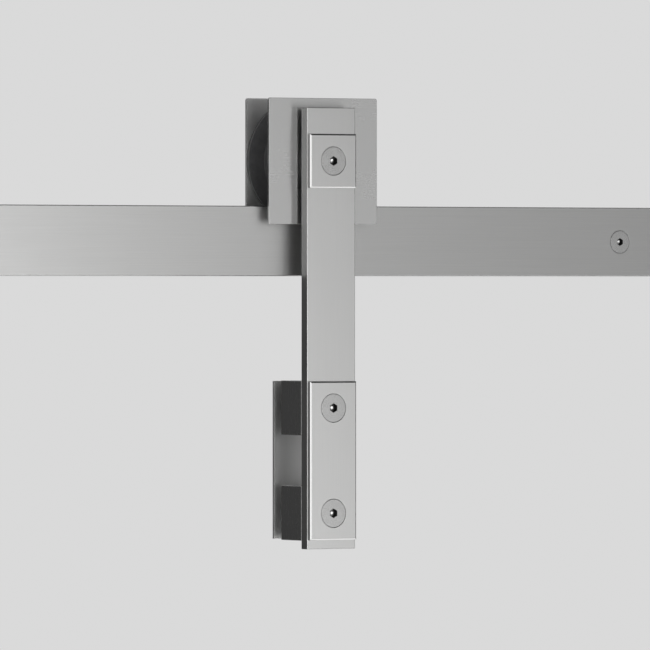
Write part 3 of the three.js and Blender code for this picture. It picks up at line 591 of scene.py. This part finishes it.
def plain_floor():
    """A plain pale studio floor, a door's height below the rail; it fades into the backdrop with distance."""
    bm = bmesh.new()
    bmesh.ops.create_grid(bm, x_segments=2, y_segments=2, size=24.0)
    me = bpy.data.meshes.new("floor")
    bm.to_mesh(me)
    bm.free()
    o = bpy.data.objects.new("floor", me)
    o.location = (0, 0, -2.4)
    bpy.context.scene.collection.objects.link(o)
    m, g = material("pale_floor")
    obj = g.node("TexCoord").outputs["Object"]
    s = g.node("SeparateXYZ", {0: obj})
    x, y = s.outputs[0], s.outputs[1]
    dist = g.math("SQRT", g.math("ADD", g.math("MULTIPLY", x, x), g.math("MULTIPLY", y, y)))
    away = g.ramp(dist, 1.6, 3.0, 0.0, 1.0)
    speck = g.noise(obj, 40.0, 4.0, 0.6)
    color = g.tint(speck, (0.76, 0.76, 0.76), (0.79, 0.79, 0.785))
    p = g.node("BsdfPrincipled", {"Base Color": color, "Roughness": 0.85})
    clear = g.node("BsdfTransparent")
    mix = g.node("MixShader", {0: away, 1: p.outputs[0], 2: clear.outputs[0]})
    g.t.links.new(mix.outputs[0], g.out.inputs[0])
    me.materials.append(m)
    return o

plain_floor()

world = bpy.data.worlds.new("studio")
bpy.context.scene.world = world
world.use_nodes = True
wt = world.node_tree
wt.nodes.clear()
wo = wt.nodes.new("ShaderNodeOutputWorld")
dim = wt.nodes.new("ShaderNodeBackground")
dim.inputs[0].default_value = (1, 1, 1, 1)
dim.inputs[1].default_value = 0.052
pale = wt.nodes.new("ShaderNodeBackground")
pale.inputs[0].default_value = (1, 1, 1, 1)
pale.inputs[1].default_value = 0.70
lp = wt.nodes.new("ShaderNodeLightPath")
seen_by = wt.nodes.new("ShaderNodeMath")
seen_by.operation = "MAXIMUM"
wt.links.new(lp.outputs["Is Camera Ray"], seen_by.inputs[0])
wt.links.new(lp.outputs["Is Diffuse Ray"], seen_by.inputs[1])
mx = wt.nodes.new("ShaderNodeMixShader")
wt.links.new(seen_by.outputs[0], mx.inputs[0])
wt.links.new(dim.outputs[0], mx.inputs[1])
wt.links.new(pale.outputs[0], mx.inputs[2])
wt.links.new(mx.outputs[0], wo.inputs[0])


def panel(name, direction, distance, size, radiance, target=(0.0, -0.05, -0.05), shift=(0, 0), fade=None):
    """A rectangular soft light of the given radiance, facing the target. fade: (left, right, bottom, top) levels."""
    d = Vector(direction).normalized()
    data = bpy.data.lights.new(name, "AREA")
    data.shape = "RECTANGLE"
    data.size, data.size_y = size
    data.energy = radiance * math.pi * size[0] * size[1]
    o = bpy.data.objects.new(name, data)
    rot = d.to_track_quat("Z", "Y")
    o.rotation_mode = "QUATERNION"
    o.rotation_quaternion = rot
    o.location = Vector(target) + d * distance + rot @ Vector((shift[0], shift[1], 0))
    o.visible_camera = False
    bpy.context.scene.collection.objects.link(o)
    if fade:
        data.use_nodes = True
        t = data.node_tree
        e = next(n for n in t.nodes if n.type == "EMISSION")
        geo = t.nodes.new("ShaderNodeNewGeometry")
        sep = t.nodes.new("ShaderNodeSeparateXYZ")
        t.links.new(geo.outputs["Parametric"], sep.inputs[0])
        def level(sock, a, b):
            n = t.nodes.new("ShaderNodeMapRange")
            n.interpolation_type = "SMOOTHSTEP"
            t.links.new(sock, n.inputs["Value"])
            n.inputs["To Min"].default_value, n.inputs["To Max"].default_value = a, b
            return n.outputs[0]
        mul = t.nodes.new("ShaderNodeMath")
        mul.operation = "MULTIPLY"
        t.links.new(level(sep.outputs[0], fade[0], fade[1]), mul.inputs[0])
        t.links.new(level(sep.outputs[1], fade[2], fade[3]), mul.inputs[1])
        t.links.new(mul.outputs[0], e.inputs["Strength"])
    return o

key = panel("front_right_softbox", (0.518, -0.855, -0.05), 3.0, (2.6, 2.8), 0.43, fade=(1.08, 0.92, 1.75, 0.25))
front_fill = panel("front_softbox", (0.25, -0.968, -0.08), 3.13, (1.3, 2.8), 0.66, fade=(1.0, 1.0, 1.6, 0.4))
near = panel("near_front_softbox", (0.26, -0.95, -0.22), 1.2, (0.6, 1.0), 1.8, target=(-0.35, -0.045, -0.02))
high = panel("high_front_softbox", (0.45, -0.75, 0.50), 3.0, (2.2, 0.9), 0.5)
low = panel("low_right_softbox", (0.518, 0.0, -0.855), 2.0, (0.9, 0.9), 0.5)
rear_high = panel("rear_left_high_softbox", (-0.50, 0.78, 0.42), 3.0, (1.7, 1.0), 0.8)
left = panel("left_strip", (-0.855, -0.518, 0.1), 2.6, (1.0, 2.4), 1.3)
top = panel("top_left_softbox", (-0.42, -0.30, 0.86), 2.6, (1.3, 1.3), 0.8)
rearp = panel("rear_right_softbox", (0.45, 0.89, 0.25), 3.2, (1.8, 1.8), 0.7)

fwd = Vector((math.sin(math.radians(31.2)), math.cos(math.radians(31.2)), 0))
right = Vector((math.cos(math.radians(31.2)), -math.sin(math.radians(31.2)), 0))
cam_data = bpy.data.cameras.new("camera")
cam_data.lens = 503.6
cam_data.sensor_width = 36.0
cam_data.clip_start, cam_data.clip_end = 0.1, 200
cam = bpy.data.objects.new("camera", cam_data)
cam.location = Vector((HX, -65.0, -31.7)) * MM - fwd * 6.480 - right * 0.00438
cam.rotation_euler = (math.radians(90 - 0.249), 0, math.radians(-31.2))
bpy.context.scene.collection.objects.link(cam)
bpy.context.scene.camera = cam
bpy.context.scene.view_settings.view_transform = "Standard"
